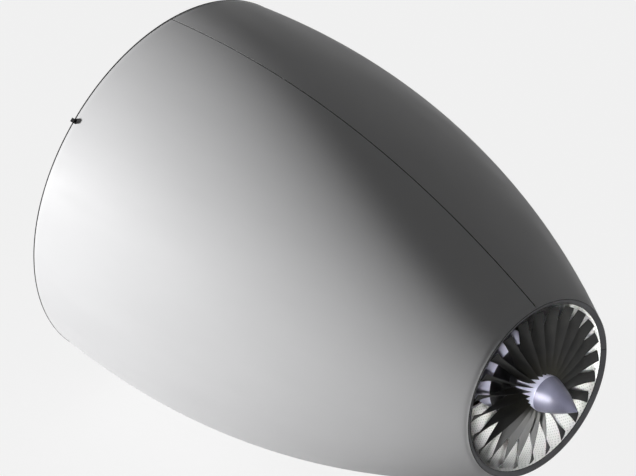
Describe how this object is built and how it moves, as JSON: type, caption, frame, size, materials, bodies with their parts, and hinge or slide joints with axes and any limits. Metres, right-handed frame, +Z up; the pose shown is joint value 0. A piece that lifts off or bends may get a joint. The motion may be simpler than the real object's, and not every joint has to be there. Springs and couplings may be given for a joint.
{
  "type": "jet engine",
  "caption": "Ducted turbofan engine pod with a smooth split cowl, a bladed rotor in the nozzle and a pointed tail cone.",
  "frame": {"origin": "centre of the intake plane, on the engine's axis, amid the three rim lugs", "axes": "+X along the axis from intake to nozzle, +Z up, -Y on the engine's left"},
  "size_m": [2.652, 1.8484, 1.8482],
  "materials": {
    "cowl_paint": "satin light grey paint",
    "lip_metal": "spun and polished aluminium",
    "duct_panel": "white acoustic duct panel",
    "inner_metal": "machined aluminium",
    "frame_metal": "cast and machined steel",
    "hot_metal": "heat-tinted nickel alloy",
    "ring_metal": "dark satin titanium",
    "fan_metal": "satin titanium",
    "blade_metal": "dark turbine alloy",
    "cone_metal": "smooth polished alloy",
    "bearing_steel": "ground bearing steel",
    "housing_cast": "cast aluminium",
    "seal_rubber": "black seal rubber",
    "lug_steel": "dark plated steel"
  },
  "bodies": {
    "casing": {"booster_case": "inner_metal", "bypass_duct": "duct_panel", "combustor_liner": "hot_metal", "compressor_case": "frame_metal", "control_unit": "housing_cast", "core_cowl_left": "cone_metal", "core_cowl_right": "cone_metal", "core_nozzle": "hot_metal", "cowl_left": "cowl_paint", "cowl_right": "cowl_paint", "cowl_seals": "seal_rubber", "diffuser_case": "frame_metal", "duct_frame_front": "inner_metal", "duct_frame_rear": "inner_metal", "fan_bulkhead": "inner_metal", "fan_case": "duct_panel", "fan_frame": "frame_metal", "fan_struts": "frame_metal", "fuel_manifold": "frame_metal", "fuel_nozzles": "hot_metal", "fuel_pump": "housing_cast", "gearbox": "housing_cast", "generator": "housing_cast", "guide_vanes": "inner_metal", "high_pressure_bearing_outer_rings": "bearing_steel", "igniters": "hot_metal", "inlet_barrel": "duct_panel", "inlet_bulkhead": "inner_metal", "inlet_lip": "lip_metal", "low_pressure_bearing_outer_rings": "bearing_steel", "lower_fairing": "duct_panel", "mounting_lugs": "lug_steel", "nozzle_ring": "ring_metal", "oil_pump": "housing_cast", "oil_tank": "housing_cast", "rear_body": "cone_metal", "rear_frame": "hot_metal", "rear_seal": "ring_metal", "rear_struts": "hot_metal", "splitter": "inner_metal", "starter": "housing_cast", "turbine_case": "hot_metal", "turbine_nozzle": "hot_metal", "upper_fairing": "duct_panel"},
    "low_pressure_spool": {"aft_blades": "blade_metal", "aft_hub": "cone_metal", "booster_rotor": "fan_metal", "fan_blades": "fan_metal", "fan_disc": "fan_metal", "low_pressure_bearing_inner_rings": "bearing_steel", "low_pressure_bearing_rollers": "bearing_steel", "low_pressure_shaft": "frame_metal", "low_pressure_turbine": "hot_metal", "spinner": "cone_metal", "tail_cone": "cone_metal"},
    "high_pressure_spool": {"compressor_rotor": "frame_metal", "high_pressure_bearing_inner_rings": "bearing_steel", "high_pressure_bearing_rollers": "bearing_steel", "high_pressure_shaft": "frame_metal", "high_pressure_turbine": "hot_metal"}
  },
  "joints": [
    {"name": "low_pressure_spin", "type": "hinge", "parent": "casing", "child": "low_pressure_spool", "pos_m": [0.424, 0, 0], "axis": [1, 0, 0], "continuous": true},
    {"name": "high_pressure_spin", "type": "hinge", "parent": "casing", "child": "high_pressure_spool", "pos_m": [1, 0, 0], "axis": [1, 0, 0], "continuous": true}
  ]
}
